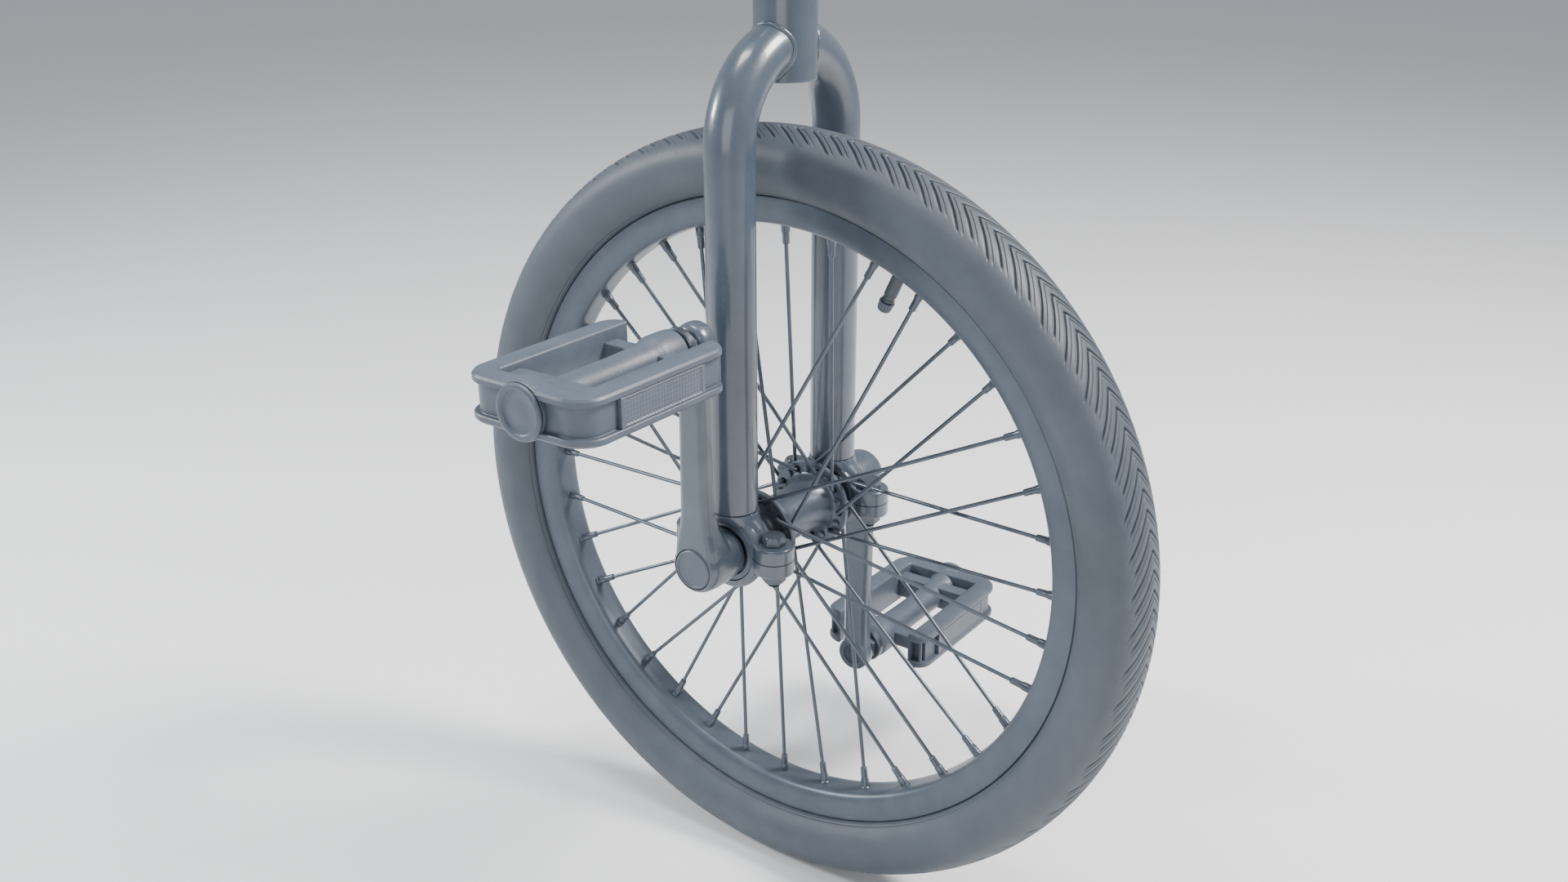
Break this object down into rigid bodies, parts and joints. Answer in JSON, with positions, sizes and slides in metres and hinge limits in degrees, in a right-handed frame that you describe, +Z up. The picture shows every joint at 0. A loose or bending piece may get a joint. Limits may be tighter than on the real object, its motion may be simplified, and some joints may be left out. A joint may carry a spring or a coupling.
{
  "type": "unicycle",
  "caption": "Unicycle: spoked wheel under a round-tube fork, cranks with cage pedals, clamped bearings and an adjustable padded saddle.",
  "frame": {"origin": "on the ground under the middle of the tyre, at the middle of the bounding box", "axes": "+X forwards, +Y to the rider's left along the axle, +Z up along the seat tube"},
  "size_m": [0.507, 0.4616, 0.8068],
  "materials": {
    "tyre_rubber": "moulded rubber, chevron tread and smooth sidewalls",
    "tube_rubber": "smooth butyl rubber",
    "tape_fabric": "woven tape",
    "rim_metal": "satin anodised",
    "hub_metal": "satin, turned",
    "axle_steel": "ground steel",
    "spoke_steel": "drawn wire",
    "frame_paint": "glossy slate paint",
    "crank_paint": "glossy slate paint",
    "fastener_steel": "plated steel",
    "bearing_steel": "ground and polished",
    "pedal_plastic": "moulded, fine grain",
    "reflector_plastic": "moulded prisms under a clear face",
    "saddle_leather": "grained vinyl, sewn",
    "saddle_foam": "open foam",
    "saddle_plastic": "moulded, fine grain",
    "post_steel": "polished",
    "clamp_metal": "satin anodised"
  },
  "bodies": {
    "frame": {"bearing_cap_left": "frame_paint", "bearing_cap_right": "frame_paint", "bearing_housing_left": "frame_paint", "bearing_housing_right": "frame_paint", "bearing_outer_race_left": "bearing_steel", "bearing_outer_race_right": "bearing_steel", "clamp_bolt_front_left": "fastener_steel", "clamp_bolt_front_right": "fastener_steel", "clamp_bolt_rear_left": "fastener_steel", "clamp_bolt_rear_right": "fastener_steel", "clamp_nut_front_left": "fastener_steel", "clamp_nut_front_right": "fastener_steel", "clamp_nut_rear_left": "fastener_steel", "clamp_nut_rear_right": "fastener_steel", "fork_leg_left": "frame_paint", "fork_leg_right": "frame_paint", "seat_clamp_collar": "clamp_metal", "seat_clamp_nut": "fastener_steel", "seat_clamp_pin": "fastener_steel", "seat_clamp_skewer": "fastener_steel", "seat_tube": "frame_paint"},
    "wheel": {"axle": "axle_steel", "bearing_inner_race_left": "bearing_steel", "bearing_inner_race_right": "bearing_steel", "crank_bolt_left": "fastener_steel", "crank_bolt_right": "fastener_steel", "crank_dust_cap_left": "pedal_plastic", "crank_dust_cap_right": "pedal_plastic", "crank_left": "crank_paint", "crank_right": "crank_paint", "hub_shell": "hub_metal", "inner_tube": "tube_rubber", "pedal_spindle_left": "axle_steel", "pedal_spindle_right": "axle_steel", "rim": "rim_metal", "rim_tape": "tape_fabric", "spokes_left": "spoke_steel", "spokes_right": "spoke_steel", "tyre": "tyre_rubber", "valve_cap": "pedal_plastic", "valve_stem": "tube_rubber"},
    "bearing_cage_right": {"bearing_balls_right": "bearing_steel"},
    "bearing_cage_left": {"bearing_balls_left": "bearing_steel"},
    "pedal_right": {"pedal_body_right": "pedal_plastic", "pedal_end_cap_right": "pedal_plastic", "reflector_front_right": "reflector_plastic", "reflector_rear_right": "reflector_plastic"},
    "pedal_left": {"pedal_body_left": "pedal_plastic", "pedal_end_cap_left": "pedal_plastic", "reflector_front_left": "reflector_plastic", "reflector_rear_left": "reflector_plastic"},
    "seat": {"saddle_base": "saddle_plastic", "saddle_bolt_front": "fastener_steel", "saddle_bolt_rear": "fastener_steel", "saddle_bumper_front": "saddle_plastic", "saddle_bumper_rear": "saddle_plastic", "saddle_cover": "saddle_leather", "saddle_foam": "saddle_foam", "seat_post": "post_steel"},
    "clamp_lever": {"seat_clamp_lever": "clamp_metal"}
  },
  "joints": [
    {"name": "wheel_spin", "type": "hinge", "parent": "frame", "child": "wheel", "pos_m": [0, 0, 0.2535], "axis": [0, 1, 0], "continuous": true},
    {"name": "bearing_spin_right", "type": "hinge", "parent": "frame", "child": "bearing_cage_right", "pos_m": [0, -0.0543, 0.2535], "axis": [0, 1, 0], "continuous": true},
    {"name": "bearing_spin_left", "type": "hinge", "parent": "frame", "child": "bearing_cage_left", "pos_m": [0, 0.0543, 0.2535], "axis": [0, 1, 0], "continuous": true},
    {"name": "pedal_spin_right", "type": "hinge", "parent": "wheel", "child": "pedal_right", "pos_m": [0, -0.169, 0.396], "axis": [0, 1, 0], "continuous": true},
    {"name": "pedal_spin_left", "type": "hinge", "parent": "wheel", "child": "pedal_left", "pos_m": [0, 0.169, 0.111], "axis": [0, 1, 0], "continuous": true},
    {"name": "seat_height", "type": "slide", "parent": "frame", "child": "seat", "axis": [0, 0, 1], "range_m": [-0.04, 0.025]},
    {"name": "clamp_lever_swing", "type": "hinge", "parent": "frame", "child": "clamp_lever", "pos_m": [-0.0295, -0.0166, 0.6455], "axis": [0, 0, -1], "range_deg": [0, 165]}
  ],
  "couplings": [
    {"joint": "bearing_spin_right", "follows": "wheel_spin", "ratio": 0.4243},
    {"joint": "bearing_spin_left", "follows": "wheel_spin", "ratio": 0.4243}
  ]
}
